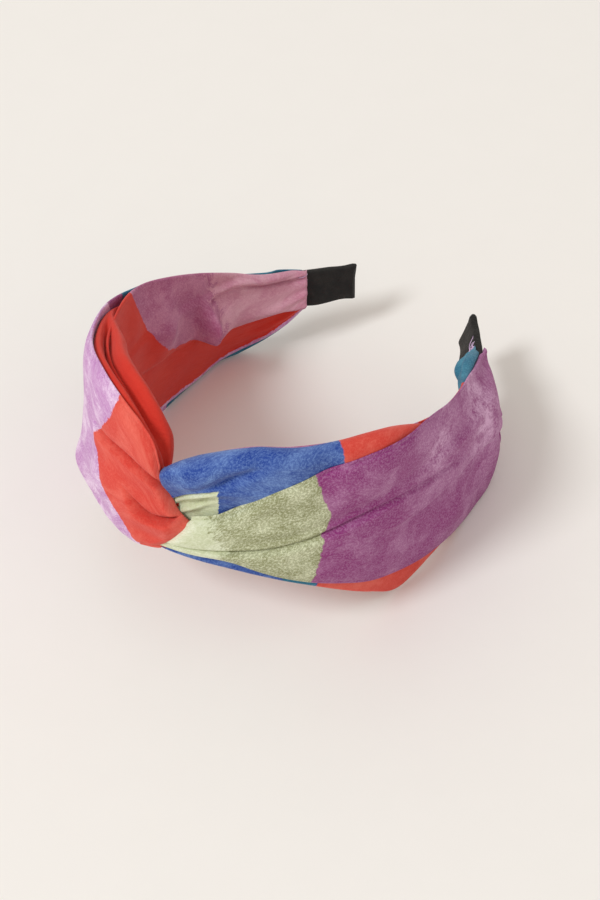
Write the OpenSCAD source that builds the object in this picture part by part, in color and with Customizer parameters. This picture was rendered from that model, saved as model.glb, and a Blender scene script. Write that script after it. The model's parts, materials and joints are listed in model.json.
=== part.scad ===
// Knotted headband: a sprung plastic band in a black satin sleeve, dressed with two strips of
// printed cotton whose bights link in a knot at the crown. It lies on the lower edges of its cloth,
// with the knot raised towards -Y and the tips towards +Y. The band is cut at two flexure lines, so
// that each arm can open. Each arm ends in a straight tip that is turned a little about its own length.
// Heights are measured from the middle of the band's width.

/* [Band] */
// Radius of the band's middle line over the crown
crown_r = 49.5; // [48:0.5:52]
// Radius of the band's middle line along each arm
arm_r = 102; // [98:1:106]
// Angle from the crown at which the arm's radius takes over, and the band flexes
crown_angle = 62; // [60:1:64]
// Angle that the band has turned through where its straight tip starts
tip_angle = 124.5; // [123:0.5:126]
// Length of the straight tip
tip_len = 24; // [22:1:26]
// Turn of the tip about its own length, upper edge outwards
tip_twist = 12; // [0:1:12]
// Width of the plastic band
core_w = 11; // [10:0.5:12]
// Thickness of the plastic band
core_t = 2; // [1.6:0.1:2.2]
// Thickness of the satin sleeve
satin_t = 0.5; // [0.3:0.1:0.6]
// How far the band slopes down from the knot to the tips
tilt = 12.5; // [12:0.1:13]
// Height of the middle of the band's width at the crown circle's centre
band_height = 45.4; // [45:0.1:46]

/* [Lining] */
// Thickness of the cloth against the head
lining_t = 1.5; // [1:0.1:1.8]
// Width of the lining over the crown
lining_w = 28; // [20:1:28]

/* [Flexure] */
// Gap in the band and its lining at each flexure line
flex_gap = 1.4; // [1.2:0.1:1.8]
// Gap between the crown's outer cloth and each arm's
cloth_gap = 5; // [4.6:0.2:7]

/* [Cloth] */
// Clear space between the sleeve and the outer cloth
cloth_clear = 0.7; // [0.6:0.1:1]
// Thickness of the back leg of each strip
back_t = 1.8; // [1.6:0.1:2.4]
// Thickness of the front leg of each strip at its edges
front_t = 2; // [1.6:0.1:3]
// How much further the front leg swells in its middle
front_swell = 3; // [0:0.5:5]
// Length of bare satin at each tip
bare_len = 20; // [18:1:22]
// Diameter of the sewing thread
thread_d = 0.7; // [0.5:0.1:0.8]

/* [Hidden] */
$fn = 96;

// Moves the crown circle's centre along Y, so that the origin is under the middle of the box
centre_y = -23;
sleeve_d = core_t / 2 + satin_t;
sleeve_w = core_w + 2 * satin_t;
deg_per_rad = 180 / PI;
s_flex = crown_r * crown_angle / deg_per_rad;
s_straight = s_flex + arm_r * (tip_angle - crown_angle) / deg_per_rad;
s_tip = s_straight + tip_len;
s_cloth = s_tip - bare_len;
arm_centre = (crown_r - arm_r) * [sin(crown_angle), -cos(crown_angle)];
back_d = sleeve_d + cloth_clear;
// Clear space between two layers of cloth, and between the arm's sleeve and its lining
layer_gap = 0.3;
front_d = back_d + back_t + layer_gap;
// The outer cloth's gap lies mostly on the arm's side of the flexure line
s_crown_cloth = s_flex - 1;
s_arm_cloth = s_crown_cloth + cloth_gap;
// How far each knot front crosses the middle of the crown
knot_cross = 9;
thread_r = thread_d / 2;
// Where the turn of the tip starts, and how far it takes to come in
twist_start = 150;
twist_run = 22;
edge_round = 1.5;
// Distances along the band at which every arm's solids have a ring: closer where the tip turns, so that
// the flat faces of one layer stay clear of the next
ring_marks = concat([for (s = [-7:7:147]) s], [for (s = [150:2:188]) s]);

// Edges of the cloth: [distance along the band from the crown, lower edge, upper edge]
cloth_edges = [
    [0, -16, 14.5], [12, -16.5, 25.5], [24, -18, 31.5], [36, -21, 32], [48, -25.5, 32], [60, -31.5, 31.5],
    [74, -39, 30], [82, -46, 28.5], [104, -46, 24], [118, -44, 20.5], [132, -40, 16.5], [146, -36, 12],
    [158, -22, 8], [169, -8.5, 7]
];
// Upper edge of the right strip's front leg, from the knot's foot up to the edge of the cloth
right_fold = [
    [-9, -3], [5, -2], [21, 1], [38, 11], [57, 22], [74, 28], [89, 27], [104, 23.5], [118, 20], [169, 6.5]
];
// Lower edge of the left strip's front leg, which leaves the knot's upper half
left_fold = [
    [-9, 1], [10, 1], [17, -13], [24, -17.5], [36, -20.5], [60, -31], [82, -46], [118, -46], [146, -36],
    [158, -21.5], [169, -8]
];

// Straight-line value of a table's column at s
function along(table, s, column, i = 0) =
    i >= len(table) - 2 || s < table[i + 1][0]
        ? table[i][column] + (table[i + 1][column] - table[i][column])
            * (s - table[i][0]) / (table[i + 1][0] - table[i][0])
        : along(table, s, column, i + 1);
function lower_edge(s) = along(cloth_edges, abs(s), 1);
function upper_edge(s) = along(cloth_edges, abs(s), 2);

// Angle that the band has turned through at s, and its directions outwards and along there
function turned(s) =
    s < s_flex ? s / crown_r * deg_per_rad
        : min(tip_angle, crown_angle + (s - s_flex) / arm_r * deg_per_rad);
function outwards(s) = [sin(turned(s)), -cos(turned(s))];
function onwards(s) = [cos(turned(s)), sin(turned(s))];
// Turn of the band about its own length at s, which comes in smoothly before the straight tip
function twist(s) =
    let (t = min(1, max(0, (s - twist_start) / twist_run))) tip_twist * t * t * (3 - 2 * t);
// Point d outside the band's middle line at s, for height h
function place(s, d, h = 0) =
    let (out = d + h * tan(twist(s)))
    s < s_flex ? (crown_r + out) * outwards(s)
        : arm_centre + (arm_r + out) * outwards(s) + max(0, s - s_straight) * onwards(s);

// Height, from the middle of the band's width, at which the cloth meets the table
function table_height(point) = (point[1] * sin(tilt) - band_height) / cos(tilt);
// Point of the cloth at s, d and height h, pressed flat where it would pass through the table
function cloth_point(s, d, h) = let (p = place(s, d, h)) [p[0], p[1], max(h, table_height(p))];

// Distances of the rings from s0 to s1: both ends, and the marks between them
function stations(s0, s1) = concat([s0], [for (s = ring_marks) if (s > s0 + 0.5 && s < s1 - 0.5) s], [s1]);

// Closed solid through rings of points. Each end is filled by a ladder of triangles, whose first rung
// joins a ring's first two points.
module loft(rings) {
    n = len(rings[0]);
    last = len(rings) - 1;
    sides = [
        for (i = [0:last - 1], j = [0:n - 1])
            let (a = i * n + j, b = i * n + (j + 1) % n)
            each [[a, b, b + n], [a, b + n, a + n]]
    ];
    ladder = [
        for (k = [0:(n - 3) / 2])
            let (a = (n - k) % n, b = k + 1, c = k + 2, d = n - k - 1)
            each (c < d ? [[a, b, c], [a, c, d]] : [[a, b, c]])
    ];
    first_end = [for (face = ladder) [face[2], face[1], face[0]]];
    last_end = [for (face = ladder) [for (j = face) last * n + j]];
    polyhedron([for (ring = rings) each ring], concat(first_end, sides, last_end));
}
// Closed wall of cloth from s0 to s1, with rounded long edges and a face that swells outwards.
// lows and highs hold its edges at each station.
module cloth_wall(s0, s1, d, t, lows, highs, swell = 0) {
    at = stations(s0, s1);
    last = len(at) - 1;
    loft([
        for (i = [0:last])
            let (s = at[i], low = lows[i], high = highs[i], tall = high - low,
                 out = d + t + swell * min(1, tall / 40) * sin(180 * (s - s0) / (s1 - s0)))
            [
                cloth_point(s, d + t * 0.3, low), cloth_point(s, d + t * 0.7, low),
                cloth_point(s, d + t, low + edge_round), cloth_point(s, out, low + tall * 0.3),
                cloth_point(s, out, low + tall * 0.7), cloth_point(s, d + t, high - edge_round),
                cloth_point(s, d + t / 2, high), cloth_point(s, d, high - edge_round),
                cloth_point(s, d, low + tall * 0.7), cloth_point(s, d, low + tall * 0.3),
                cloth_point(s, d, low + edge_round)
            ]
    ]);
}
// Wall with the whole height of the cloth
module full_wall(s0, s1, d, t) {
    lows = [for (s = stations(s0, s1)) lower_edge(s)];
    highs = [for (s = stations(s0, s1)) upper_edge(s)];
    cloth_wall(s0, s1, d, t, lows, highs);
}

// Sweeps children, drawn as [outwards, up], along the crown
module crown_sweep() {
    end_angle = (s_flex - flex_gap / 2) / crown_r * deg_per_rad;
    rotate([0, 0, -end_angle - 90]) rotate_extrude(angle = 2 * end_angle) translate([crown_r, 0]) children();
}
// Four corners of a bar of thickness t and width w at s, with its middle d outside the middle line
function bar_ring(s, t, w, d = 0) = [
    for (corner = [[-1, -1], [1, -1], [1, 1], [-1, 1]])
        let (h = corner[1] * w / 2, p = place(s, d + corner[0] * t / 2, h)) [p[0], p[1], h]
];
// Flat bar along an arm from s0 to s1
module arm_bar(s0, s1, t, w, d = 0) {
    loft([for (s = stations(s0, s1)) bar_ring(s, t, w, d)]);
}
// Tube of the sleeve's section along an arm from s0 to s1, open at both ends. Each ring holds four
// outer corners and then four inner ones.
module arm_tube(s0, s1) {
    rings = [
        for (s = stations(s0, s1)) concat(bar_ring(s, 2 * sleeve_d, sleeve_w), bar_ring(s, core_t, core_w))
    ];
    last = 8 * (len(rings) - 1);
    walls = [
        for (i = [0:8:last - 8], j = [0:3])
            let (a = i + j, b = i + (j + 1) % 4)
            each [[a, b, b + 8], [a, b + 8, a + 8], [a + 4, b + 12, b + 4], [a + 4, a + 12, b + 12]]
    ];
    ends = [
        for (j = [0:3])
            let (k = (j + 1) % 4)
            each [[k, j, j + 4, k + 4], [last + j, last + k, last + k + 4, last + j + 4]]
    ];
    polyhedron([for (ring = rings) each ring], concat(walls, ends));
}
// Frame on the band at s: +X outwards, +Y along the band towards the tip
module at_s(s) {
    translate(place(s, 0)) rotate([0, 0, turned(s) - 90]) rotate([0, twist(s), 0]) children();
}
module left_side() {
    mirror([1, 0, 0]) children();
}
// Puts the level band into its sloping place
module on_table() {
    translate([0, centre_y, band_height]) rotate([-tilt, 0, 0]) children();
}

module band_section() {
    square([core_t, core_w], center = true);
}
module sleeve_section() {
    difference() {
        square([core_t + 2 * satin_t, sleeve_w], center = true);
        band_section();
    }
}

module core_crown() {
    color("gainsboro") crown_sweep() band_section();
}
module satin_sleeve_crown() {
    color("black") crown_sweep() sleeve_section();
}
module lining_crown() {
    color("firebrick")
        crown_sweep() translate([-sleeve_d - lining_t, -lining_w / 2]) square([lining_t, lining_w]);
}
// Thread loops that tack the knot's middle to the back legs, between the two front legs
module knot_tack_stitches() {
    loop_r = 0.7;
    color("indianred")
        for (i = [-1:1])
            at_s(i * 2.2) translate([back_d + back_t + loop_r + thread_r, 0, -0.7])
                rotate_extrude($fn = 24) translate([loop_r, 0]) circle(thread_r, $fn = 16);
}

module core_arm() {
    color("gainsboro") arm_bar(s_flex + flex_gap / 2, s_tip, core_t, core_w);
}
module satin_sleeve_arm() {
    color("black") arm_tube(s_flex + flex_gap / 2, s_tip);
}
// Folded end of the satin sleeve: a flat tab with two ears and a hollow between them
module satin_end_tab() {
    half_w = sleeve_w / 2 + 0.4;
    tab_t = 1.8;
    hollow_r = 3.6;
    color("black") at_s(s_tip) rotate([90, 0, 90]) translate([0, 0, -tab_t / 2])
        linear_extrude(tab_t)
            difference() {
                polygon([[0, -half_w + 0.5], [0.5, -half_w], [1.4, -half_w], [1.7, half_w], [0.5, half_w],
                         [0, half_w - 0.5]]);
                translate([hollow_r + 0.9, -0.6]) circle(hollow_r);
            }
}
// The arm's lining carries on the inner face of the crown's, and is thinner by its clear space
module lining_arm() {
    color("firebrick")
        full_wall(s_flex + flex_gap / 2, s_cloth, -sleeve_d - lining_t, lining_t - layer_gap);
}
// Pad of set glue in the middle of the space between the sleeve and the gathered cloth
module glue_pad() {
    pad_w = 6;
    pad_t = 0.3;
    color("wheat") arm_bar(s_cloth - 8, s_cloth - 1, pad_t, pad_w, sleeve_d + cloth_clear / 2);
}
// Row of whip stitches just past the gathered edge
module gather_stitches() {
    color("plum")
        for (i = [-2:2])
            at_s(s_cloth + 1.2) translate([sleeve_d + thread_r + 0.15, 0, i * 2.2]) rotate([90, 0, 0])
                cylinder(h = 1.8, r = thread_r, center = true, $fn = 16);
}

module arm_back_leg() {
    full_wall(s_arm_cloth, s_cloth, back_d, back_t);
}
module knot_back_leg() {
    full_wall(0.4, s_crown_cloth, back_d, back_t);
}
module right_front(s0, s1, swell) {
    lows = [for (s = stations(s0, s1)) lower_edge(s) + 0.4];
    highs = [for (s = stations(s0, s1)) along(right_fold, s, 1)];
    cloth_wall(s0, s1, front_d, front_t, lows, highs, swell);
}
module left_front(s0, s1, swell) {
    lows = [for (s = stations(s0, s1)) along(left_fold, s, 1)];
    highs = [for (s = stations(s0, s1)) upper_edge(s) - 0.4];
    cloth_wall(s0, s1, front_d, front_t, lows, highs, swell);
}

module right_strip_front_leg() {
    color("orchid") right_front(s_arm_cloth, s_cloth, front_swell);
}
module right_strip_back_leg() {
    color("royalblue") arm_back_leg();
}
module right_strip_knot_front() {
    color("darkkhaki") right_front(-knot_cross, s_crown_cloth, front_swell);
}
module right_strip_knot_back() {
    color("royalblue") knot_back_leg();
}
module left_strip_front_leg() {
    color("plum") left_front(s_arm_cloth, s_cloth, front_swell);
}
module left_strip_back_leg() {
    color("tomato") arm_back_leg();
}
module left_strip_knot_front() {
    color("tomato") left_front(-knot_cross, s_crown_cloth, front_swell);
}
module left_strip_knot_back() {
    color("tomato") knot_back_leg();
}

on_table() core_crown();
on_table() satin_sleeve_crown();
on_table() lining_crown();
on_table() knot_tack_stitches();
on_table() right_strip_knot_front();
on_table() right_strip_knot_back();
on_table() left_side() left_strip_knot_front();
on_table() left_side() left_strip_knot_back();
on_table() core_arm();  // core_right
on_table() satin_sleeve_arm();  // satin_sleeve_right
on_table() satin_end_tab();  // satin_end_tab_right
on_table() lining_arm();  // lining_right
on_table() right_strip_front_leg();
on_table() right_strip_back_leg();
on_table() glue_pad();  // glue_pad_right
on_table() gather_stitches();  // gather_stitches_right
on_table() left_side() core_arm();  // core_left
on_table() left_side() satin_sleeve_arm();  // satin_sleeve_left
on_table() left_side() satin_end_tab();  // satin_end_tab_left
on_table() left_side() lining_arm();  // lining_left
on_table() left_side() left_strip_front_leg();
on_table() left_side() left_strip_back_leg();
on_table() left_side() glue_pad();  // glue_pad_left
on_table() left_side() gather_stitches();  // gather_stitches_left
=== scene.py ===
# Knotted headband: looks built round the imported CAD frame. Lengths are in millimetres along the band
# until a mesh is made: s runs from the crown's middle to a tip, h across the band's width, and d
# outwards from the band's middle line.
import json
import math

import bpy
import numpy as np
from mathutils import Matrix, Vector


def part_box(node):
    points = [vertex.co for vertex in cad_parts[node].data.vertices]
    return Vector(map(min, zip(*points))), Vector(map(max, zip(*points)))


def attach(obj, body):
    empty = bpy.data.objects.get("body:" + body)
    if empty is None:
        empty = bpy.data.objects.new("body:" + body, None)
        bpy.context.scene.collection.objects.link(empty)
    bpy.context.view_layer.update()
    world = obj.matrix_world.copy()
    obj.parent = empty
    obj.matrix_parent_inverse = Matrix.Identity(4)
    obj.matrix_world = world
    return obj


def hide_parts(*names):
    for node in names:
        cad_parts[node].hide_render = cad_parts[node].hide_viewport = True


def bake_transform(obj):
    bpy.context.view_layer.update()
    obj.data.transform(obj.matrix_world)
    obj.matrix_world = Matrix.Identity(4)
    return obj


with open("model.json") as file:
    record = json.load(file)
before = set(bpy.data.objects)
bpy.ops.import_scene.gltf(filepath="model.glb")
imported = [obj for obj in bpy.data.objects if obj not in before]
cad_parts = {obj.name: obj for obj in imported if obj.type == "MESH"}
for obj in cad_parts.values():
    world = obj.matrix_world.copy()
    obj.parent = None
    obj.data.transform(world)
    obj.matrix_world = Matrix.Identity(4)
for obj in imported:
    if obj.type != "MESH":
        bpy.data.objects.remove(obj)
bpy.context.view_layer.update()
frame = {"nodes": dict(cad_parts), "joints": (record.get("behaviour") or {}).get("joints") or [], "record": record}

# ---------------------------------------------------------------- sizes
# The crown's circle, the slope and the flexure come from the frame
MM = 0.001
joints = {joint["name"]: joint for joint in frame["joints"]}
seat = frame["record"]["mounts"][0]
seat_centre = np.array(seat["pos_m"]) / MM
slope_axis = np.array(seat["axis"])
tilt = math.atan2(slope_axis[1], slope_axis[2])
pivot = np.array(joints["right_arm_flex"]["pos_m"]) / MM - seat_centre
pivot_y = pivot[1] * math.cos(tilt) - pivot[2] * math.sin(tilt)
CROWN_R = math.hypot(pivot[0], pivot_y)
CROWN_ANGLE = math.atan2(pivot[0], -pivot_y)
# The arm and the tip aren't in the frame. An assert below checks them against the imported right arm
ARM_R = 102.0
TIP_ANGLE = math.radians(124.5)
TIP_LEN = 24.0
TIP_TWIST = math.radians(12)
TWIST_START, TWIST_END = 150, 172
S_FLEX = CROWN_R * CROWN_ANGLE
S_STRAIGHT = S_FLEX + ARM_R * (TIP_ANGLE - CROWN_ANGLE)
S_TIP = S_STRAIGHT + TIP_LEN
BARE = 20.0
S_CLOTH = S_TIP - BARE
SLEEVE_HALF_W = 6.0
SLEEVE_D = 1.5
CORE_HALF_W = 5.5
CORE_D = 1.0
# How far the sleeve's folded end reaches past the band, and a reach either side of the flexure whose points
# finish_piece works out but doesn't use
TAB_REACH = 0.6
BEND_REACH = 16.0
LEFT, RIGHT = -1, 1
SIDE_NAMES = {LEFT: "left", RIGHT: "right"}


def place(s, d, h, side):
    """Points in the row frame, in millimetres, for distances along, out from and across the band."""
    s, d, h = np.broadcast_arrays(np.asarray(s, float), np.asarray(d, float), np.asarray(h, float))
    on_crown = s < S_FLEX
    turn = np.where(on_crown, s / CROWN_R, np.minimum(CROWN_ANGLE + (s - S_FLEX) / ARM_R, TIP_ANGLE))
    radius = np.where(on_crown, CROWN_R, ARM_R) + d + h * np.tan(TIP_TWIST * ramp(s, TWIST_START, TWIST_END))
    shift = np.where(on_crown, 0.0, CROWN_R - ARM_R)
    past = np.maximum(s - S_STRAIGHT, 0)
    x = shift * math.sin(CROWN_ANGLE) + radius * np.sin(turn) + past * np.cos(turn)
    y = -shift * math.cos(CROWN_ANGLE) - radius * np.cos(turn) + past * np.sin(turn)
    row_y = seat_centre[1] + y * math.cos(tilt) + h * math.sin(tilt)
    row_z = seat_centre[2] - y * math.sin(tilt) + h * math.cos(tilt)
    return np.stack([side * x, row_y, row_z], -1)


def smooth_curve(points):
    """A smooth function through (x, y) points, with Catmull-Rom slopes and straight ends."""
    xs, ys = (np.array(column, float) for column in zip(*points))
    slopes = np.gradient(ys, xs)

    def value(x):
        x = np.asarray(x, float)
        inside = np.clip(x, xs[0], xs[-1])
        i = np.clip(np.searchsorted(xs, inside) - 1, 0, len(xs) - 2)
        step = xs[i + 1] - xs[i]
        t = (inside - xs[i]) / step
        rise = (2 * t**3 - 3 * t**2 + 1) * ys[i] + (t**3 - 2 * t**2 + t) * step * slopes[i]
        fall = (3 * t**2 - 2 * t**3) * ys[i + 1] + (t**3 - t**2) * step * slopes[i + 1]
        return rise + fall

    return value


def ramp(x, a, b):
    """0 before a and 1 after b, with a smooth turn."""
    t = np.clip((np.asarray(x, float) - a) / (b - a), 0, 1)
    return t * t * (3 - 2 * t)


def hump(x, middle, width):
    """A bell of height 1 round middle."""
    return np.exp(-(((x - middle) / width) ** 2))


def wrinkles(s, h, seed, along=22.0, across=9.0, count=7):
    """Small irregular waves in the cloth, longer along the band than across it."""
    random = np.random.default_rng(seed)
    total = np.zeros(np.broadcast(s, h).shape)
    for _ in range(count):
        stretch = random.uniform(0.5, 1.6)
        turn = random.uniform(-0.5, 0.5)
        phase = random.uniform(0, 2 * math.pi, 2)
        wave_s = np.sin(2 * math.pi * (s + turn * h) / (along * stretch) + phase[0])
        total += stretch * wave_s * np.sin(2 * math.pi * h / (across * stretch * 2) + phase[1])
    return total / count


# The band's curve above has to be the CAD's: the right arm's bar fills its node's box
arm_s = np.linspace(S_FLEX + 0.7, S_TIP, 300)
arm_bar = np.concatenate([
    place(arm_s, d, h, RIGHT) for d in (-CORE_D, CORE_D) for h in (-CORE_HALF_W, CORE_HALF_W)
])
for corner, reach in zip(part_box("core_right"), (arm_bar.min(0), arm_bar.max(0))):
    assert np.abs(np.array(corner) / MM - reach).max() < 0.15, "the band's curve isn't the CAD's"

# ---------------------------------------------------------------- outline of the cloth
cloth_top = smooth_curve([
    (0, 14), (12, 25), (24, 31), (40, 32), (60, 31), (80, 29), (104, 24), (133, 16), (150, 11),
    (170, 6.5),
])
cloth_low = smooth_curve([
    (0, -16), (24, -18), (44, -24), (60, -31), (75, -38), (87, -43), (104, -39), (143, -32),
    (154, -27), (163, -16), (170, -8),
])
# How far out the cloth's two edges stand: the arms lean in at the top and flare where they rest
lean_top = smooth_curve([(0, 3), (60, 3), (90, 2), (118, -2), (133, -3), (150, -2), (170, 0.5)])
lean_low = smooth_curve([(0, 2), (60, -1), (90, 1), (130, 5), (143, 8), (153, 7), (163, 2), (170, 0.5)])


def lean(s, h):
    """How far out the middle of the cloth stands at s and h: nothing where it holds the band."""
    low, high = cloth_low(s), cloth_top(s)
    below = lean_low(s) * ramp(-h, 4, -low + 0.1)
    above = lean_top(s) * ramp(h, 4, high + 0.1)
    return below + above


def pinch(s, h):
    """1 where the arm's layers lie flat on each other, above and below the band, and 0 elsewhere."""
    return ramp(np.abs(h), 6.2, 10 - 2.8 * ramp(s, 142, 160)) * ramp(s, 62, 88)


def squeeze(s):
    """1 where the gathered cloth is bound tight to the band."""
    return ramp(s, 150, 167)


def top_close(s, h):
    """1 along the arm's top edge, where the outer cloth folds down on to the lining."""
    return ramp(h - cloth_top(s), -5, -1.5) * ramp(s, 74, 96)


def layer(s, h, open_d, closed_d):
    """How far out a layer lies: open_d over the band, closed_d where the layers close up."""
    return open_d + (closed_d - open_d) * pinch(s, h)


def over_band(h, d, free):
    """free, but at least d where the band's sleeve lies behind the cloth."""
    return np.where(np.abs(h) < 9, free + np.clip(d - free, 0, None) * (1 - ramp(np.abs(h), 6.4, 9)), free)


# ---------------------------------------------------------------- sheets of cloth
LIP_ROWS, ROLL_ROWS = 3, 14
CLOTH_T = 0.4
END_ROUND = 1.5
UV_UNIT = 100.0


def new_object(name, points_mm, faces):
    mesh = bpy.data.meshes.new(name)
    mesh.from_pydata((points_mm * MM).tolist(), [], faces)
    mesh.update()
    obj = bpy.data.objects.new(name, mesh)
    bpy.context.scene.collection.objects.link(obj)
    for polygon in mesh.polygons:
        polygon.use_smooth = True
    return obj


def grid_faces(columns, rows, flip=False):
    faces = []
    for i in range(columns - 1):
        for j in range(rows - 1):
            a = i * rows + j
            face = (a, a + rows, a + rows + 1, a + 1)
            faces.append(face[::-1] if flip else face)
    return faces


def cloth_sheet(name, side, start, end, low, high, face, base, roll=1.4, top_roll=None, lip=5.0,
                columns=300, rows=110, start_round=4.0, prints=(), paling=None, rim_crease=None,
                dense_start=1.0):
    """A folded strip of cloth as one thin sheet: a face with both its long edges rolled over.

    start(v) and end(v) give s at the first and last column for v from 0, the lower edge, to 1. low and
    high give the edges' heights, and face and base, from s, h and v, how far out the face and the
    turned-under edges lie. roll is the radius of the rolled edges, top_roll its own function of s for
    the upper one, and lip how far an edge turns under. rim_crease presses a crease into the top roll:
    its depth at s, and where it lies round the roll. The start is rounded over start_round, and
    dense_start above 1 crowds the columns there. prints are functions of s and h that the material
    reads, one attribute each. The argument after prints is one too: how much paler the print is, from 0 to 1.
    """
    t = np.linspace(0, 1, columns)[:, None] ** dense_start
    lip_part = np.linspace(1, 0, LIP_ROWS + 1)[:-1]
    arc = np.linspace(0, math.pi, ROLL_ROWS + 1)[:-1]
    inner = np.linspace(0, 1, rows)
    v = np.concatenate([np.zeros(LIP_ROWS + ROLL_ROWS), inner, np.ones(LIP_ROWS + ROLL_ROWS)])[None, :]
    first, final = start(v), end(v)
    s = first + (final - first) * t
    h_low, h_high = low(s), high(s)
    tall = np.maximum(h_high - h_low, 0.5)
    roll_low = np.minimum(roll, tall / 3.2)
    roll_high = np.minimum(top_roll(s) if top_roll else roll, tall / 2.6)
    h_face = h_low + roll_low + v * (tall - roll_low - roll_high)
    from_start = np.clip((s - first) / start_round, 0, 1) if start_round else 1.0
    from_end = np.clip((final - s) / END_ROUND, 0, 1)
    rounding = np.sqrt((1 - (1 - from_start) ** 2) * (1 - (1 - from_end) ** 2))
    d_base = base(s, h_face, v)
    d_face = d_base + (face(s, h_face, v) - d_base) * rounding
    h, d = h_face.copy(), d_face.copy()
    total = v.shape[1]
    half = (d_face - d_base) / 2
    middle = (d_face + d_base) / 2
    k = LIP_ROWS
    h[:, :k] = h_face[:, :k] + lip_part[None, :] * np.minimum(lip, tall[:, :k] * 0.3)
    d[:, :k] = base(s[:, :k], h[:, :k], v[:, :k])
    lower = slice(k, k + ROLL_ROWS)
    h[:, lower] = h_face[:, lower] - roll_low[:, lower] * np.sin(arc)[None, :]
    d[:, lower] = middle[:, lower] - half[:, lower] * np.cos(arc)[None, :]
    top_arc = np.linspace(0, math.pi, ROLL_ROWS + 1)[1:]
    upper = slice(total - k - ROLL_ROWS, total - k)
    swell = np.sin(top_arc)[None, :]
    if rim_crease:
        depth, centre = rim_crease
        swell = swell * (1 - depth(s[:, upper]) * hump(top_arc[None, :], centre, 0.4))
    h[:, upper] = h_face[:, upper] + roll_high[:, upper] * swell
    d[:, upper] = middle[:, upper] + half[:, upper] * np.cos(top_arc)[None, :]
    last = slice(total - k, total)
    h[:, last] = h_face[:, last] - lip_part[::-1][None, :] * np.minimum(lip, tall[:, last] * 0.3)
    d[:, last] = base(s[:, last], h[:, last], v[:, last])
    points = place(s, d, h, side)
    points[..., 2] = np.maximum(points[..., 2], CLOTH_T + 0.05)
    obj = new_object(name, points.reshape(-1, 3), grid_faces(columns, total, flip=side == RIGHT))
    add_cloth_coordinates(obj, points, columns, total)
    painted = {f"print_{index}": value for index, value in enumerate(prints)}
    painted["paling"] = paling or (lambda s, h: 0 * h)
    for label, value in painted.items():
        attribute = obj.data.attributes.new(label, "FLOAT", "POINT")
        amount = np.broadcast_to(value(s, h), h.shape)
        attribute.data.foreach_set("value", amount.ravel().astype(np.float32))
    thick = obj.modifiers.new("cloth", "SOLIDIFY")
    thick.thickness = CLOTH_T * MM
    thick.offset = 0
    return obj


def add_cloth_coordinates(obj, points, columns, rows):
    """UVs that run along and across the cloth at its own scale, 1 unit to UV_UNIT mm."""
    across = np.zeros((columns, rows))
    across[:, 1:] = np.cumsum(np.linalg.norm(np.diff(points, axis=1), axis=2), axis=1)
    across -= across[:, rows // 2: rows // 2 + 1]
    along = np.zeros((columns, rows))
    along[1:, :] = np.cumsum(np.linalg.norm(np.diff(points, axis=0), axis=2), axis=0)
    uv = np.stack([along, across], -1).reshape(-1, 2) / UV_UNIT
    uv_layer = obj.data.uv_layers.new(name="cloth")
    corner = np.zeros(len(obj.data.loops), np.int32)
    obj.data.loops.foreach_get("vertex_index", corner)
    uv_layer.data.foreach_set("uv", uv[corner].ravel().astype(np.float32))


def square_end(s):
    """An end of a sheet that lies straight across the band at s."""
    return lambda v: s + 0 * v


def step_at(h, line, width=0.7):
    """1 above a fold line and 0 below it, over a short width."""
    return ramp(h - line, -width, width)


# ---------------------------------------------------------------- materials
def srgb(r, g, b):
    """Linear colour from 0 to 255 display values."""
    def linear(c):
        c = c / 255
        return c / 12.92 if c <= 0.04045 else ((c + 0.055) / 1.055) ** 2.4
    return (linear(r), linear(g), linear(b), 1.0)


# Each dye: (deep colour, chalky colour, how chalky it is, how speckled it is)
DYES = {
    "purple": (srgb(136, 36, 112), srgb(216, 170, 206), 0.34, 0.42),
    "lavender": (srgb(186, 124, 184), srgb(240, 218, 238), 0.85, 0.55),
    "inner_purple": (srgb(166, 88, 128), srgb(222, 166, 190), 0.5, 0.4),
    "rose": (srgb(196, 130, 154), srgb(236, 196, 208), 0.6, 0.35),
    "coral": (srgb(212, 62, 50), srgb(242, 130, 112), 0.5, 0.25),
    # The next dye is the coral print darkened with painted shade: its colours were read where the lining lies in
    # shadow.
    "coral_with_painted_shade": (srgb(206, 50, 36), srgb(224, 84, 64), 0.3, 0.12),
    "blue": (srgb(26, 60, 144), srgb(132, 166, 220), 0.5, 0.5),
    "teal": (srgb(16, 96, 128), srgb(92, 172, 194), 0.5, 0.5),
    "sage": (srgb(134, 136, 92), srgb(222, 226, 194), 0.55, 1.0),
    "pale_sage": (srgb(196, 202, 164), srgb(236, 240, 218), 0.7, 0.6),
}


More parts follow.
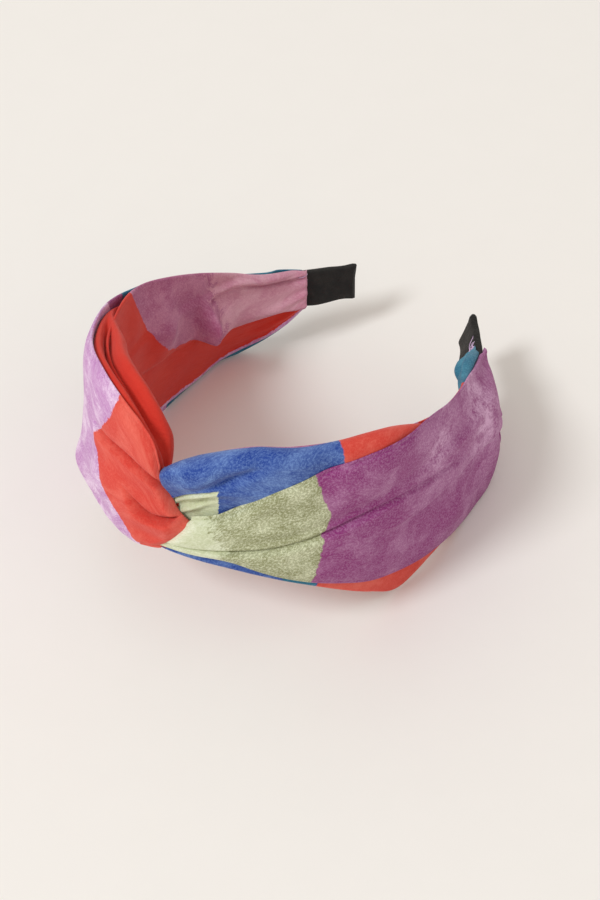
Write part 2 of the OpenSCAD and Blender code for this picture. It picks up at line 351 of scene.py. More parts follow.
class Nodes:
    """Short calls for making a material's nodes."""

    def __init__(self, name):
        self.material = bpy.data.materials.new(name)
        self.material.use_nodes = True
        self.tree = self.material.node_tree
        self.shader = self.tree.nodes["Principled BSDF"]

    def link(self, a, b):
        self.tree.links.new(a, b)

    def node(self, kind, **values):
        made = self.tree.nodes.new(kind)
        for key, value in values.items():
            setattr(made, key, value)
        return made

    def set_input(self, socket, value):
        if hasattr(value, "links") or isinstance(value, bpy.types.NodeSocket):
            self.link(value, socket)
        else:
            socket.default_value = value

    def math(self, operation, a, b=0.0, clamp=False):
        made = self.node("ShaderNodeMath", operation=operation, use_clamp=clamp)
        self.set_input(made.inputs[0], a)
        self.set_input(made.inputs[1], b)
        return made.outputs[0]

    def mix(self, factor, a, b):
        made = self.node("ShaderNodeMix", data_type="RGBA")
        self.set_input(made.inputs[0], factor)
        self.set_input(made.inputs[6], a)
        self.set_input(made.inputs[7], b)
        return made.outputs[2]

    def noise(self, vector, scale, detail=3.0, rough=0.55):
        made = self.node("ShaderNodeTexNoise")
        self.link(vector, made.inputs["Vector"])
        made.inputs["Scale"].default_value = scale
        made.inputs["Detail"].default_value = detail
        made.inputs["Roughness"].default_value = rough
        return made.outputs["Fac"]

    def spread(self, value, low, high):
        """value stretched so that low gives 0 and high gives 1."""
        made = self.node("ShaderNodeMapRange", interpolation_type="SMOOTHSTEP")
        self.set_input(made.inputs["Value"], value)
        made.inputs["From Min"].default_value = low
        made.inputs["From Max"].default_value = high
        return made.outputs["Result"]

    def stretch(self, vector, scale):
        made = self.node("ShaderNodeMapping")
        self.link(vector, made.inputs["Vector"])
        made.inputs["Scale"].default_value = scale
        return made.outputs["Vector"]

    def bump(self, height, strength, distance):
        """Relief from height on the surface, distance metres deep at full strength."""
        made = self.node("ShaderNodeBump")
        made.inputs["Strength"].default_value = strength
        made.inputs["Distance"].default_value = distance
        self.link(height, made.inputs["Height"])
        self.link(made.outputs[0], self.shader.inputs["Normal"])


def weave_height(n, uv, pitch=0.42):
    """Plain weave: warp and weft threads that pass over and under each other."""
    per_unit = UV_UNIT / pitch * math.pi
    split = n.node("ShaderNodeSeparateXYZ")
    n.link(uv, split.inputs[0])
    warp = n.math("SINE", n.math("MULTIPLY", split.outputs[0], per_unit))
    weft = n.math("SINE", n.math("MULTIPLY", split.outputs[1], per_unit))
    return n.math("MULTIPLY", warp, weft)


def printed_cotton(name, ground, patches, offset=0.0):
    """Plain-weave cotton with a chalky patchwork print. patches are dye names, one for each print
    attribute of the mesh, painted in order where that attribute is above 0."""
    n = Nodes(name)
    uv = n.node("ShaderNodeUVMap", uv_map="cloth").outputs[0]
    shifted = n.node("ShaderNodeVectorMath", operation="ADD")
    n.link(uv, shifted.inputs[0])
    shifted.inputs[1].default_value = (offset, offset * 0.7, 0)
    cloth = shifted.outputs[0]
    wobble = n.math("SUBTRACT", n.noise(cloth, 30, 4, 0.6), 0.5)
    bleed = n.math("SUBTRACT", n.noise(cloth, 260, 2, 0.6), 0.5)
    deep, pale, chalk, speckle = DYES[ground]
    colours = [deep, pale]
    amounts = [chalk, speckle]
    for index, dye in enumerate(patches):
        attribute = n.node("ShaderNodeAttribute", attribute_name=f"print_{index}").outputs["Fac"]
        edge = n.math("ADD", attribute, n.math("MULTIPLY", wobble, 2.6))
        edge = n.math("ADD", edge, n.math("MULTIPLY", bleed, 0.9))
        mask = n.spread(edge, -0.22, 0.22)
        new = DYES[dye]
        colours = [n.mix(mask, colours[0], new[0]), n.mix(mask, colours[1], new[1])]
        faded = []
        for old, fresh in zip(amounts, new[2:]):
            start_part = n.math("MULTIPLY", old, n.math("SUBTRACT", 1.0, mask))
            faded.append(n.math("ADD", start_part, n.math("MULTIPLY", mask, fresh)))
        amounts = faded
    blotch = n.spread(n.noise(cloth, 7, 5, 0.62), 0.44, 0.64)
    brush = n.spread(n.noise(n.stretch(cloth, (14, 34, 1)), 1.0, 4, 0.65), 0.42, 0.7)
    grain = n.spread(n.noise(cloth, 120, 4, 0.75), 0.45, 0.6)
    fleck = n.spread(n.noise(cloth, 330, 2, 0.6), 0.5, 0.6)
    paling = n.math("ADD", n.math("MULTIPLY", blotch, 0.6), n.math("MULTIPLY", brush, 0.25))
    wash = n.math("MULTIPLY", paling, amounts[0])
    gritty = n.math("ADD", n.math("MULTIPLY", grain, 0.7), n.math("MULTIPLY", fleck, 0.35))
    grit = n.math("MULTIPLY", gritty, n.math("MULTIPLY", amounts[1], 0.8))
    # The print turns paler where the mesh's paling attribute asks for it
    pale_patch = n.math("MULTIPLY", n.node("ShaderNodeAttribute", attribute_name="paling").outputs["Fac"],
                    n.spread(n.noise(cloth, 15, 6, 0.7), 0.3, 0.66))
    chalky = n.math("ADD", n.math("ADD", wash, grit), pale_patch, clamp=True)
    colour = n.mix(chalky, colours[0], colours[1])
    dark_speck = n.spread(n.noise(cloth, 190, 3, 0.7), 0.54, 0.68)
    dark_fleck = n.math("MULTIPLY", dark_speck, n.math("MULTIPLY", amounts[1], 0.45))
    colour = n.mix(dark_fleck, colour, n.mix(0.4, colours[0], (0.02, 0.02, 0.03, 1)))
    n.link(colour, n.shader.inputs["Base Color"])
    n.shader.inputs["Roughness"].default_value = 0.86
    n.shader.inputs["Specular IOR Level"].default_value = 0.25
    n.shader.inputs["Sheen Weight"].default_value = 0.12
    n.shader.inputs["Sheen Roughness"].default_value = 0.5
    creases = n.noise(n.stretch(cloth, (20, 60, 1)), 1.0, 5, 0.6)
    weave = n.math("MULTIPLY", weave_height(n, cloth), 0.1)
    n.bump(n.math("ADD", weave, n.math("MULTIPLY", creases, 1.6)), 0.35, 0.0006)
    return n.material


def black_satin():
    n = Nodes("black_satin")
    position = n.node("ShaderNodeTexCoord").outputs["Object"]
    fine = n.noise(n.stretch(position, (900, 900, 2600)), 1.0, 3, 0.6)
    folds = n.noise(position, 260, 4, 0.6)
    blacks = n.mix(n.spread(folds, 0.35, 0.7), srgb(14, 12, 11), srgb(30, 27, 24))
    n.link(blacks, n.shader.inputs["Base Color"])
    n.link(n.math("ADD", 0.5, n.math("MULTIPLY", fine, 0.25)), n.shader.inputs["Roughness"])
    n.shader.inputs["Specular IOR Level"].default_value = 0.35
    n.bump(n.math("ADD", fine, n.math("MULTIPLY", folds, 2.0)), 0.5, 0.0005)
    return n.material


def spun_thread(name, colour, light):
    n = Nodes(name)
    position = n.node("ShaderNodeTexCoord").outputs["Object"]
    twist = n.noise(n.stretch(position, (2600, 2600, 900)), 1.0, 2, 0.5)
    n.link(n.mix(twist, colour, light), n.shader.inputs["Base Color"])
    n.shader.inputs["Roughness"].default_value = 0.7
    n.shader.inputs["Sheen Weight"].default_value = 0.2
    return n.material


def plain_mould(name, colour, dark, rough, grain_scale):
    n = Nodes(name)
    position = n.node("ShaderNodeTexCoord").outputs["Object"]
    grain = n.noise(position, grain_scale, 4, 0.6)
    n.link(n.mix(grain, dark, colour), n.shader.inputs["Base Color"])
    n.link(n.math("ADD", rough, n.math("MULTIPLY", grain, 0.2)), n.shader.inputs["Roughness"])
    n.bump(grain, 0.2, 0.0003)
    return n.material


satin = black_satin()


def finish_piece(obj, material, side=None, rides=None):
    """Gives a piece its material and slot, and ties a piece that rides on a body to that body; any
    other piece only has its transform baked."""
    obj.data.materials.append(material)
    if rides:
        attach(obj, rides)
        return obj
    before = place(S_FLEX - BEND_REACH, 0, 0, side) * MM
    after = place(S_FLEX + BEND_REACH, 0, 0, side) * MM
    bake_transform(obj)
    return obj


# ---------------------------------------------------------------- right strip, front leg
front_low = smooth_curve([
    (0, -13), (20, -13), (40, -20), (60, -27), (80, -33), (104, -35), (143, -32), (154, -27),
    (163, -16), (170, -8),
])
right_front_top = smooth_curve([
    (0, -4), (10, 1), (18, 4), (24, 9), (30, 15), (40, 21.5), (52, 26), (64, 28.5), (78, 29),
    (90, 27.5), (104, 24), (133, 16.5), (150, 11), (170, 6.5),
])
pleat_line = smooth_curve([
    (0, -12), (20, -10), (32, -8), (50, -2), (62, 1), (76, 3), (92, 2), (110, -1), (130, -6),
])


def tip_gathers(s, h, count, seed):
    """Folds that run into the gathered end: ridges across the height, deeper towards the tip."""
    low, high = cloth_low(s), cloth_top(s)
    v = (h - low) / np.maximum(high - low, 1)
    phase = np.random.default_rng(seed).uniform(0, 6, 2)
    ridges = np.sin(2 * math.pi * count * v + phase[0])
    ridges = ridges + 0.5 * np.sin(2 * math.pi * count * 1.7 * v + phase[1])
    return ridges * ramp(s, 132, 166)


def right_puff(s, h):
    """The fullness of the back leg along its top, which the front leg lies over."""
    near_top = ramp(h, 4, 16)
    return near_top * (3.6 * hump(s, 22, 26) + 2.0 * hump(s, 68, 16) - 1.2 * hump(s, 47, 5))


def right_front_face(s, h, v):
    tube = np.sqrt(np.clip(4 * v * (1 - v), 0, 1))
    full = 3.0 * (1 - 0.5 * ramp(s, 76, 104)) * (1 - 0.8 * ramp(s, 150, 167))
    rise = layer(s, h, 3.6 - 0.9 * squeeze(s), 1.5) - 0.9 * top_close(s, h)
    rise += full * tube + right_puff(s, h) * (1 - 0.5 * tube)
    rise += 2.2 * (1 - ramp(s, 6, 26))
    along = (1 - ramp(s, 96, 128)) * ramp(s, 0, 5)
    lower = pleat_line(s) - h
    rise += along * (1.5 * step_at(lower, 0, 0.5) * (1 - 0.5 * ramp(s, 48, 80)) - 0.7)
    rise -= along * 1.5 * hump(lower, -0.7, 0.7) * (1 - 0.6 * ramp(s, 52, 84))
    rise -= 0.9 * hump(lower, -4.0, 2.6) * ramp(s, 14, 34) * (1 - ramp(s, 100, 130))
    rise += 3.0 * hump(s, 143, 15) * hump(h, -6, 10) + 1.6 * hump(s, 116, 18) * hump(h, -24, 9)
    rise += 4.2 * hump(s, 143, 10) * hump(h, -15, 10) + 1.4 * hump(s, 143, 9) * hump(h, 2, 6)
    rise += 0.4 * wrinkles(s, h, 3) + 0.45 * tip_gathers(s, h, 2.6, 5)
    rise += 0.9 * hump(h - (0.75 * s - 13), 0, 3.0) * hump(s, 24, 9)
    side_fold = 1.1 * ramp(s, 147.6, 148.8) * (1 - ramp(s, 149, 164)) - 1.2 * hump(s, 147.2, 0.8)
    return lean(s, h) + rise + side_fold * ramp(-h, 0, 14) * (1 - ramp(-h, 15, 23))


def right_front_base(s, h, v):
    wrap = 2.4 * (1 - ramp(s, 8, 26)) - 1.1 * top_close(s, h)
    return lean(s, h) + layer(s, h, 2.9 - 0.6 * squeeze(s), 0.8) + right_puff(s, h) + wrap


def right_front_pale_patches(s, h):
    """Two places where the print is paler."""
    return 0.9 * hump(s, 97, 9) * hump(h, 12, 9) + 1.0 * hump(s, 131, 12) * hump(h, 6, 15)


def right_front_end(v):
    return S_CLOTH + 0.5 - 2.0 * v**3


right_front_start = smooth_curve([(0, 1.0), (0.5, 5.5), (1, 10.0)])
sage_purple = smooth_curve([(-40, 47), (-12, 48), (-3, 48), (5, 50), (12, 47), (40, 38)])
right_front = cloth_sheet(
    "right_strip_front", RIGHT, right_front_start, right_front_end, front_low, right_front_top,
    right_front_face, right_front_base, roll=1.3, start_round=5.0, dense_start=1.45, columns=320, rows=116,
    prints=[
        lambda s, h: s - sage_purple(h),
        lambda s, h: (19 - s - 0.35 * (h + 5)) / 7,
    ],
    paling=right_front_pale_patches,
)
finish_piece(
    right_front, printed_cotton("cotton_right_front", "sage", ["purple", "pale_sage"], 0.3),
    side=RIGHT,
)
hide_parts("right_strip_front_leg", "right_strip_knot_front")

# ---------------------------------------------------------------- right strip, back leg
right_back_top = smooth_curve([
    (-8, 9), (-1.5, 13.5), (3, 18.5), (9, 23), (16, 27), (24, 30), (40, 31), (70, 31), (80, 28),
    (96, 21), (118, 15), (148, 8), (170, 5),
])
sage_tuck = smooth_curve([(-6, 0), (0, 2), (8, 9), (16, 14), (24, 16)])


def right_back_face(s, h, v):
    valley = -2.6 * hump(h - (3.5 + 0.82 * s), 0, 2.4) * hump(s, 19, 10)
    at_knot = 1 - ramp(s, 13, 20)
    blue_over = 2.2 * step_at(h, sage_tuck(s), 0.5) * at_knot
    loop = h - sage_tuck(s)
    folds = 2.6 * hump(loop, -1.6, 1.2) * hump(s, 9, 7) - 1.8 * hump(loop, -4.2, 1.3) * hump(s, 10, 6)
    folds += 2.2 * hump(loop, -6.6, 1.2) * hump(s, 9, 5)
    rise = layer(s, h, 2.3, 0.3) + right_puff(s, h) + valley + blue_over + folds
    rise += 0.25 * wrinkles(s, h, 11) + 0.3 * tip_gathers(s, h, 3, 8)
    return lean(s, h) + over_band(h, 2.1, rise)


def right_back_base(s, h, v):
    thick_top = 3.2 * ramp(h, 8, 20) * (1 - ramp(s, 70, 92)) * ramp(s, 0, 10)
    return lean(s, h) + over_band(h, 1.8, layer(s, h, 0.4, -0.2) - thick_top)


right_back = cloth_sheet(
    "right_strip_back", RIGHT, square_end(-1), square_end(S_CLOTH), cloth_low, right_back_top,
    right_back_face, right_back_base, roll=1.2, start_round=3.0,
    top_roll=lambda s: 1.4 + 3.0 * ramp(s, 0, 12) * (1 - ramp(s, 66, 88)), columns=300, rows=100,
    prints=[
        lambda s, h: s - 51.5 + 0.1 * (h - 22),
        lambda s, h: np.minimum(s - 39, 51.5 - s + 0.03 * h) - np.maximum(0, h + 8) * 2,
        lambda s, h: s - 51.5 - np.maximum(0, h + 8) * 4,
        lambda s, h: np.minimum(np.minimum(17.0 - s, sage_tuck(s) - h), h + 8),
    ],
)
finish_piece(
    right_back, printed_cotton("cotton_right_back", "blue", ["coral", "teal", "coral", "pale_sage"], 1.7),
    side=RIGHT,
)
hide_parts("right_strip_back_leg", "right_strip_knot_back")

# ---------------------------------------------------------------- left strip, front leg
left_front_top = smooth_curve([
    (-12, 6), (-4, 9), (0, 15), (3, 22), (8, 27), (14, 30), (28, 33.5), (50, 32), (62, 31),
    (90, 26), (118, 19), (148, 10), (170, 5.5),
])
left_front_low = smooth_curve([
    (-12, -11), (0, -15), (15, -19), (32, -22), (44, -25), (60, -31), (75, -37), (104, -37),
    (143, -32), (154, -27), (163, -16), (170, -8),
])
crease_1 = smooth_curve([(-12, 3), (-4, 7), (2, 11), (10, 13), (22, 13), (40, 15)])
crease_2 = smooth_curve([(-12, 2), (-4, -2), (1, -3), (6, -1), (12, 4)])


def left_front_face(s, h, v):
    tube = np.sqrt(np.clip(4 * v * (1 - v), 0, 1))
    full = 3.4 * (1 - 0.5 * ramp(s, 76, 104)) * (1 - 0.8 * ramp(s, 150, 167))
    rise = layer(s, h, 3.4 - 0.7 * squeeze(s), 1.5) - 0.9 * top_close(s, h) + full * tube
    rise += 1.8 * hump(s, 14, 14) * hump(h, -2, 11) - 2.4 * ramp(-h, 3, 10) * (1 - ramp(s, 0, 13))
    under = crease_1(s) - h
    fold_1 = 1.8 * step_at(under, 0, 0.3)
    fold_1 -= 1.2 * np.exp(np.minimum(under, 0) / 1.8) * step_at(-under, 0, 0.35)
    fold_1 -= 3.8 * hump(under, -0.5, 0.55)
    rise += fold_1 * ramp(s, -9, -4) * (1 - ramp(s, 24, 31))
    hollow = h - crease_2(s)
    fold_2 = 2.2 * step_at(-hollow, 0, 0.35)
    fold_2 -= 2.4 * np.exp(-np.maximum(hollow, 0) / 2.4) * step_at(hollow, 0, 0.35)
    fold_2 -= 2.4 * hump(hollow, 0.7, 0.7)
    rise += fold_2 * ramp(s, -9, -4) * (1 - ramp(s, 4, 12))
    rise -= 2.8 * hump(s, 24, 11) * ramp(-h, 3, 16)
    rise += 2.6 * hump(s, 47, 7) * hump(h, -15, 7) - 1.2 * hump(s, 58, 5) * hump(h, -12, 9)
    rise += 0.4 * wrinkles(s, h, 21) + 0.45 * tip_gathers(s, h, 2.4, 6)
    return lean(s, h) + rise


def left_front_base(s, h, v):
    wrap = 1.4 * (1 - ramp(s, -2, 10)) - 1.1 * top_close(s, h)
    return lean(s, h) + layer(s, h, 2.8 - 0.5 * squeeze(s), 0.8) + wrap


left_front_start = smooth_curve([(0, -2), (0.25, -8.5), (0.5, -10), (0.75, -4.5), (1, 0.5)])
coral_lavender = smooth_curve([
    (-24, 0), (-17, 3), (-9, 10), (-2, 18), (6, 22), (13, 26), (16, 24), (25, 19), (40, 20),
])
left_front = cloth_sheet(
    "left_strip_front", LEFT, left_front_start, square_end(S_CLOTH + 0.5), left_front_low, left_front_top,
    left_front_face, left_front_base, roll=1.3, start_round=3.6, dense_start=1.45, columns=320, rows=116,
    prints=[
        lambda s, h: s - coral_lavender(h),
        lambda s, h: s - 78 + 0.25 * h,
        lambda s, h: np.maximum(np.minimum(s - 80, h - 14), s - 118),
    ],
)
finish_piece(
    left_front, printed_cotton("cotton_left_front", "coral", ["lavender", "purple", "teal"], 2.9),
    side=LEFT,
)
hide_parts("left_strip_front_leg", "left_strip_knot_front")

# ---------------------------------------------------------------- left strip, back leg
left_back_top = smooth_curve([
    (-8, 8), (0, 14), (4, 21), (8, 26), (18, 33), (28, 35), (44, 34), (60, 31), (80, 24.5),
    (96, 20), (118, 15), (148, 8), (170, 5),
])


def left_back_low(s):
    return cloth_low(s) - 1.2 * ramp(s, 60, 78) * (1 - ramp(s, 140, 158))


def left_back_face(s, h, v):
    rise = layer(s, h, 2.3, 0.3) + 0.25 * wrinkles(s, h, 31) + 0.3 * tip_gathers(s, h, 3, 9)
    return lean(s, h) + over_band(h, 2.1, rise)


def left_back_base(s, h, v):
    inner_roll = 8.6 * ramp(h, 6, 16) * (1 - ramp(s, 46, 74)) * ramp(s, -4, 6)
    return lean(s, h) + over_band(h, 1.8, layer(s, h, 0.4, -0.2) - inner_roll)


left_back = cloth_sheet(
    "left_strip_back", LEFT, square_end(-5), square_end(S_CLOTH), left_back_low, left_back_top,
    left_back_face, left_back_base, roll=1.2, start_round=3.0, lip=14.0,
    top_roll=lambda s: 1.4 + 3.2 * ramp(s, -4, 12) * (1 - ramp(s, 50, 80)), columns=300, rows=90,
    rim_crease=(lambda s: 1.7 * (1.0 - ramp(s, 44, 72)), 1.4),
    prints=[
        lambda s, h: s - 74 - 0.3 * h,
        lambda s, h: s - 116,
    ],
)
# The left back leg's ground is the coral darkened with painted shade.
finish_piece(
    left_back, printed_cotton("cotton_left_back", "coral_with_painted_shade", ["lavender", "teal"], 4.1),
    side=LEFT,
)
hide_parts("left_strip_back_leg", "left_strip_knot_back")

# ---------------------------------------------------------------- linings
lining_top = smooth_curve([
    (0, 13), (12, 23), (24, 29), (36, 30), (62, 30), (75, 29.5), (104, 24), (133, 16), (148, 11),
    (170, 7),
])
lining_low = smooth_curve([
    (0, -14), (29, -18), (44, -23), (60, -30), (75, -36), (87, -41), (104, -37), (143, -30),
    (154, -25), (163, -15), (170, -7),
])
inner_fold = smooth_curve([
    (100, 0), (110, -4), (120, -7.5), (130, -9.5), (140, -10.5), (155, -9), (170, -5.5),
])
inner_crease = smooth_curve([(118, 2), (127, 6), (138, 8), (150, 6.5), (172, 5)])


def inside_band(s, h, rise):
    """rise kept inwards of the band's sleeve."""
    return np.minimum(rise, layer(s, h, -2.1, -0.9))


def left_lining_face(s, h, v):
    rise = layer(s, h, -2.4, -1.2)
    over = h - inner_fold(s)
    flap = step_at(over, 0, 0.6)
    bulge = 7.0 * ramp(s, 120.5, 125.5) * (1 - 0.72 * ramp(s, 127, 142)) * (1 - 0.4 * ramp(s, 152, 168))
    rise -= flap * bulge * (1 - ramp(over, 7, 18) * (1 - 0.5 * ramp(s, 136, 150)))
    rise -= 3.0 * hump(s, 124.5, 2.4) * hump(over, 6, 6) - 2.4 * hump(s, 131, 3.5) * hump(over, 9, 5)
    rise -= 4.6 * hump(s, 101, 8) * hump(h, 5, 11)
    rise -= 1.6 * hump(s, 82, 7) * hump(h, 16, 9)
    crease = h - inner_crease(s)
    rise += 3.2 * hump(crease, -0.2, 0.8) * ramp(s, 124, 131) * (1 - 0.4 * pinch(s, h))
    rise -= 2.2 * hump(crease, 2.4, 1.7) * ramp(s, 122, 134) * (1 - 0.5 * ramp(s, 155, 168))
    rise += 0.7 * wrinkles(s, h, 41, 34, 16) + 0.28 * tip_gathers(s, h, 3.4, 4)
    return lean(s, h) + inside_band(s, h, rise)


def lining_base(s, h, v):
    return lean(s, h) + layer(s, h, -1.7, -0.55)


purple_over_coral = smooth_curve([
    (60, 40), (78, 34), (86, 18), (95, 4), (108, -5.5), (120, -8), (130, -9.5), (140, -10.5), (155, -9),
    (170, -5.5),
])
left_lining = cloth_sheet(
    "left_lining", LEFT, square_end(0), square_end(S_CLOTH + 1), lining_low, lining_top,
    left_lining_face, lining_base, roll=0.9, start_round=0, columns=300, rows=110,
    prints=[
        lambda s, h: h - purple_over_coral(s),
        lambda s, h: np.minimum((s - 128 - 0.3 * (8 - h)) / 9, (h - purple_over_coral(s)) / 2),
        lambda s, h: lining_low(s) + 1.4 - h,
    ],
)
# The lining's ground is the coral darkened with painted shade.
finish_piece(
    left_lining,
    printed_cotton("cotton_left_lining", "coral_with_painted_shade", ["inner_purple", "rose", "lavender"], 5.3),
    side=LEFT,
)
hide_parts("lining_left", "lining_crown")


def right_lining_face(s, h, v):
    rise = layer(s, h, -2.4, -1.2) - 1.2 * hump(s, 120, 16) * hump(h, -8, 9)
    rise -= 2.6 * hump(s, 158, 7) * hump(h, 2.2, 3.2) + 1.6 * hump(s, 146, 7) * hump(h, 7.5, 3)
    rise -= 2.5 * ramp(s, 126, 142) * (1 - ramp(s, 163, 169)) * ramp(h, -3, 5)
    rise += 0.7 * wrinkles(s, h, 51, 34, 16) + 0.75 * tip_gathers(s, h, 2.6, 14)
    return lean(s, h) + inside_band(s, h, rise)


def right_lining_top(s):
    return lining_top(s) - 1.6 * ramp(s, 56, 76) + 3.4 * hump(s, 152, 13)


right_lining = cloth_sheet(
    "right_lining", RIGHT, square_end(0), square_end(S_CLOTH + 1), lining_low, right_lining_top,
    right_lining_face, lining_base, roll=0.9, start_round=0, columns=300, rows=100,
    prints=[
        lambda s, h: s - 70 - 0.5 * h,
        lambda s, h: s - 133 + 0.2 * h,
    ],
)
# Past s 70 the right lining is printed with the coral darkened with painted shade.
finish_piece(
    right_lining, printed_cotton("cotton_right_lining", "inner_purple", ["coral_with_painted_shade", "teal"], 6.1),
    side=RIGHT,
)
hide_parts("lining_right")

# ---------------------------------------------------------------- band and sleeve
BAR_SIDES = 28
BAR_SQUARENESS = 0.35


def band_sweep(name, side, half_t, half_w, s0, s1, columns=160, ears=False, middle=0.0):
    """A flat bar with rounded edges swept along the band, with middle as its place out from the band's
    middle line. ears folds its end into two ragged ears and swells the satin a little on its inside."""
    ring, power = BAR_SIDES, BAR_SQUARENESS
    angle = np.linspace(0, 2 * math.pi, ring, endpoint=False)
    across_d = np.sign(np.cos(angle)) * np.abs(np.cos(angle)) ** power * half_t
    across_h = np.sign(np.sin(angle)) * np.abs(np.sin(angle)) ** power * half_w
    t = np.linspace(0, 1, columns) ** 0.8
    s = (s0 + (s1 - s0) * t)[:, None]
    d = np.broadcast_to(across_d[None, :], (columns, ring)).copy()
    h = np.broadcast_to(across_h[None, :], (columns, ring)).copy()
    s = np.broadcast_to(s, (columns, ring)).copy()
    if ears:
        end = ramp(s, s1 - 7, s1)
        d *= 1 - 0.5 * (s > s1 - 0.3)
        s += end * (0.7 * (np.abs(h) / half_w) ** 3 - 0.3 * hump(h, -1.5, 3.0))
        d += 0.16 * np.sin(h * 1.3 + s * 0.35) * ramp(s, s1 - 18, s1 - 6)
        h *= 1 + 0.05 * ramp(s, s1 - 4, s1) - 0.03 * hump(s, s1 - 6, 3)
        d -= 1.4 * hump(s, s1 - 16, 6) * ramp(-h, 0, 5) * (d < 0)
    points = place(s, d + middle, h, side).reshape(-1, 3)
    faces = []
    for i in range(columns - 1):
        for j in range(ring):
            a, b = i * ring + j, i * ring + (j + 1) % ring
            face = (a, b, b + ring, a + ring)
            faces.append(face[::-1] if side == LEFT else face)
    first, last = list(range(ring)), [(columns - 1) * ring + j for j in range(ring)]
    faces.append(first if side == LEFT else first[::-1])
    faces.append(last[::-1] if side == LEFT else last)
    return new_object(name, points, faces)


band_plastic = plain_mould("band_plastic", srgb(214, 214, 208), srgb(196, 196, 190), 0.45, 600)
for side in (RIGHT, LEFT):
    side_name = SIDE_NAMES[side]
    core = band_sweep(f"plastic_band_{side_name}", side, CORE_D, CORE_HALF_W, 0.0, S_TIP)
    finish_piece(core, band_plastic, side=side)
    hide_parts(f"core_{side_name}")
    sleeve = band_sweep(
        f"satin_cover_{side_name}", side, SLEEVE_D, SLEEVE_HALF_W, 0.0, S_TIP + TAB_REACH, ears=True,
    )
    finish_piece(sleeve, satin, side=side)
    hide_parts(f"satin_sleeve_{side_name}", f"satin_end_tab_{side_name}")
    if side == RIGHT:
        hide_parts("core_crown")
        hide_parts("satin_sleeve_crown")

# ---------------------------------------------------------------- glue, stitches and loose threads
GLUE_HALF_T, GLUE_HALF_W = 0.28, 4.6
GLUE_D = -1.8
GLUE_START, GLUE_END = S_CLOTH - 11, S_CLOTH - 2.5
STITCH_START, STITCH_END = (S_CLOTH - 2.6, -2.4), (S_CLOTH + 1.4, -1.5)
STITCH_HEIGHTS = (-5.2, -3.1, -1.0, 1.1, 3.2, 5.3)
STITCH_SLANT = 0.5
STITCH_R, FRAY_R = 0.22, 0.1
THREAD_END = 0.35


def tube_through(points_mm, radius, sides=8):
    """Vertices and faces of a thread through these points."""
    points = np.asarray(points_mm, float)
    along = np.gradient(points, axis=0)
    along /= np.linalg.norm(along, axis=1)[:, None]
    guide = np.array([0.31, 0.17, 0.93])  # a direction that no thread here runs along
    first = np.cross(along, guide)
    first /= np.linalg.norm(first, axis=1)[:, None]
    second = np.cross(along, first)
    angle = np.linspace(0, 2 * math.pi, sides, endpoint=False)
    ring = np.cos(angle)[None, :, None] * first[:, None, :]
    ring = ring + np.sin(angle)[None, :, None] * second[:, None, :]
    taper = np.ones(len(points))
    taper[[0, -1]] = THREAD_END
    verts = points[:, None, :] + ring * (radius * taper)[:, None, None]
    faces = []
    for i in range(len(points) - 1):
        for j in range(sides):
            a, b = i * sides + j, i * sides + (j + 1) % sides
            faces.append((a, b, b + sides, a + sides))
    last = (len(points) - 1) * sides
    faces.append(tuple(range(sides))[::-1])
    faces.append(tuple(last + j for j in range(sides)))
    return verts.reshape(-1, 3), faces


def thread_object(name, runs, radius):
    """One object holding a tube for each run of points."""
    all_points, all_faces, start = [], [], 0
    for run in runs:
        points, faces = tube_through(run, radius)
        all_points.append(points)
        all_faces += [tuple(index + start for index in face) for face in faces]
        start += len(points)
    return new_object(name, np.concatenate(all_points), all_faces)


def arc_run(a, b, side, rise, steps=9):
    """A stitch from a to b, each (s, d, h), standing up by rise in its middle."""
    t = np.linspace(0, 1, steps)
    mixed = [a[i] + (b[i] - a[i]) * t for i in range(3)]
    return place(mixed[0], mixed[1] + rise * np.sin(math.pi * t), mixed[2], side)


glue = plain_mould("set_glue", srgb(226, 214, 186), srgb(196, 178, 140), 0.3, 900)
pale_thread = spun_thread("pale_thread", srgb(196, 150, 205), srgb(236, 214, 240))
coral_thread = spun_thread("coral_thread", srgb(214, 74, 56), srgb(240, 128, 100))
for side in (RIGHT, LEFT):
    side_name = SIDE_NAMES[side]
    arm = side_name + "_arm"
    pad = band_sweep(
        f"glue_bead_{side_name}", side, GLUE_HALF_T, GLUE_HALF_W, GLUE_START, GLUE_END,
        columns=24, middle=GLUE_D,
    )
    finish_piece(pad, glue, rides=arm)
    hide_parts(f"glue_pad_{side_name}")
    stitches = []
    for h in STITCH_HEIGHTS:
        stitches.append(arc_run((*STITCH_START, h), (*STITCH_END, h + STITCH_SLANT), side, -0.6))
    gathers = thread_object(f"gather_stitches_{side_name}_thread", stitches, STITCH_R)
    finish_piece(gathers, pale_thread, rides=arm)
    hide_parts(f"gather_stitches_{side_name}")


def fray(seed, count, s0, h0, spread_h, length):
    """Short threads that stray from the cut end of the cloth over the satin."""
    random = np.random.default_rng(seed)
    runs = []
    for _ in range(count):
        h_start = h0 + random.uniform(-spread_h, spread_h)
        reach = length * random.uniform(0.5, 1.2)
        bend = random.uniform(-0.6, 0.6)
        t = np.linspace(0, 1, 12)
        along = s0 - 1.0 + reach * t
        across = h_start + bend * reach * t**2
        out = -2.1 - 0.9 * np.sin(math.pi * np.clip(t * 1.1, 0, 1)) * random.uniform(0.3, 1.0)
        runs.append(place(along, out, across, RIGHT))
    return runs


frays = fray(7, 12, S_CLOTH, 5.0, 1.8, 3.0) + fray(9, 3, S_CLOTH, 3.2, 2.0, 6.0)
loose = thread_object("loose_threads_right", frays, FRAY_R)
finish_piece(loose, pale_thread, rides="right_arm")

tacks = frame["nodes"]["knot_tack_stitches"]
tacks.data.materials.clear()
tacks.data.materials.append(coral_thread)

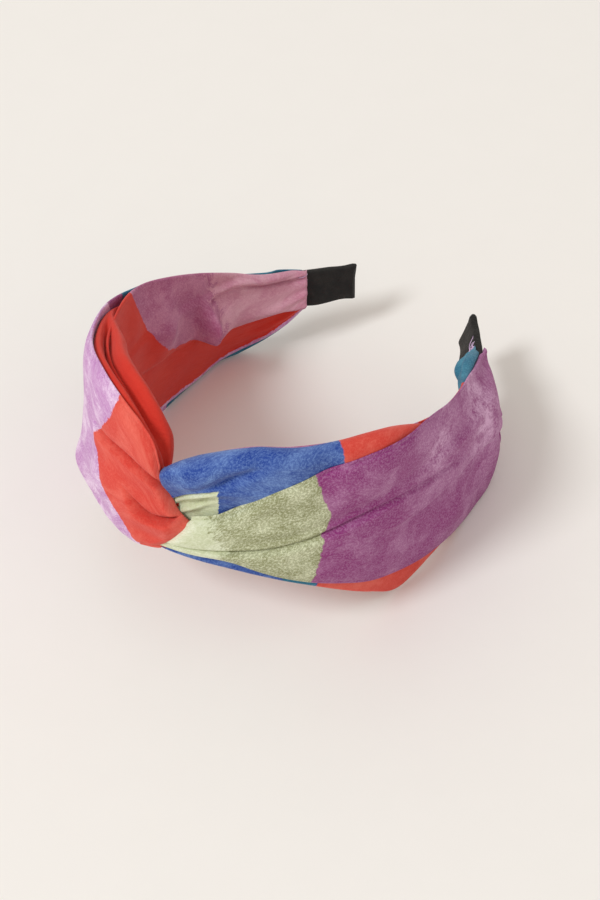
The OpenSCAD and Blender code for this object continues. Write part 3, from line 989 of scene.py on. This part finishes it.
# ---------------------------------------------------------------- camera, light and floor
CAMERA_AZIMUTH, CAMERA_ELEVATION = math.radians(32.7), math.radians(46.2)
CAMERA_DISTANCE = 844.6
CAMERA_RIGHT, CAMERA_UP = 13.6, 23.7
CAMERA_LENS = 98.8
CAMERA_TARGET = np.array([0, seat_centre[1] + 2.1, 0])
back = np.array([
    math.sin(CAMERA_AZIMUTH) * math.cos(CAMERA_ELEVATION),
    -math.cos(CAMERA_AZIMUTH) * math.cos(CAMERA_ELEVATION),
    math.sin(CAMERA_ELEVATION),
])
right = np.array([math.cos(CAMERA_AZIMUTH), math.sin(CAMERA_AZIMUTH), 0])
up = np.cross(back, right)
camera_data = bpy.data.cameras.new("camera")
camera_data.lens = CAMERA_LENS
camera_data.clip_start, camera_data.clip_end = 0.05, 20
camera = bpy.data.objects.new("camera", camera_data)
camera_place = CAMERA_TARGET + back * CAMERA_DISTANCE + right * CAMERA_RIGHT + up * CAMERA_UP
camera.location = Vector(camera_place * MM)
camera.rotation_mode = "QUATERNION"
camera.rotation_quaternion = Vector(-back).to_track_quat("-Z", "Y")
bpy.context.scene.collection.objects.link(camera)
bpy.context.scene.camera = camera


def area_light(name, direction, distance, size, power, colour):
    data = bpy.data.lights.new(name, "AREA")
    data.shape = "DISK"
    data.size = size
    data.energy = power
    data.color = colour
    light = bpy.data.objects.new(name, data)
    towards = Vector(direction).normalized()
    light.location = towards * distance
    light.rotation_mode = "QUATERNION"
    light.rotation_quaternion = towards.to_track_quat("Z", "Y")
    bpy.context.scene.collection.objects.link(light)


area_light(
    "window", direction=(-0.22, -0.62, 0.74), distance=4.4, size=1.15, power=90.0, colour=(0.94, 0.97, 1.0),
)
world = bpy.data.worlds.new("studio")
world.use_nodes = True
sky = world.node_tree.nodes["Background"]
sky.inputs["Color"].default_value = (1.0, 0.95, 0.9, 1)
sky.inputs["Strength"].default_value = 0.7
bpy.context.scene.world = world
bpy.context.scene.view_settings.view_transform = "Standard"

FLOOR_HALF = 3000.0
floor_corners = [(x, y, 0) for x in (-FLOOR_HALF, FLOOR_HALF) for y in (-FLOOR_HALF, FLOOR_HALF)]
floor = new_object("floor", np.array(floor_corners, float), [(0, 2, 3, 1)])
paper = Nodes("floor_paper")
paper_noise = paper.noise(paper.node("ShaderNodeTexCoord").outputs["Object"], 60, 3, 0.5)
paper_white = paper.mix(paper_noise, srgb(239, 236, 231), srgb(241, 238, 233))
paper.link(paper_white, paper.shader.inputs["Base Color"])
paper.shader.inputs["Roughness"].default_value = 0.9
floor.data.materials.append(paper.material)
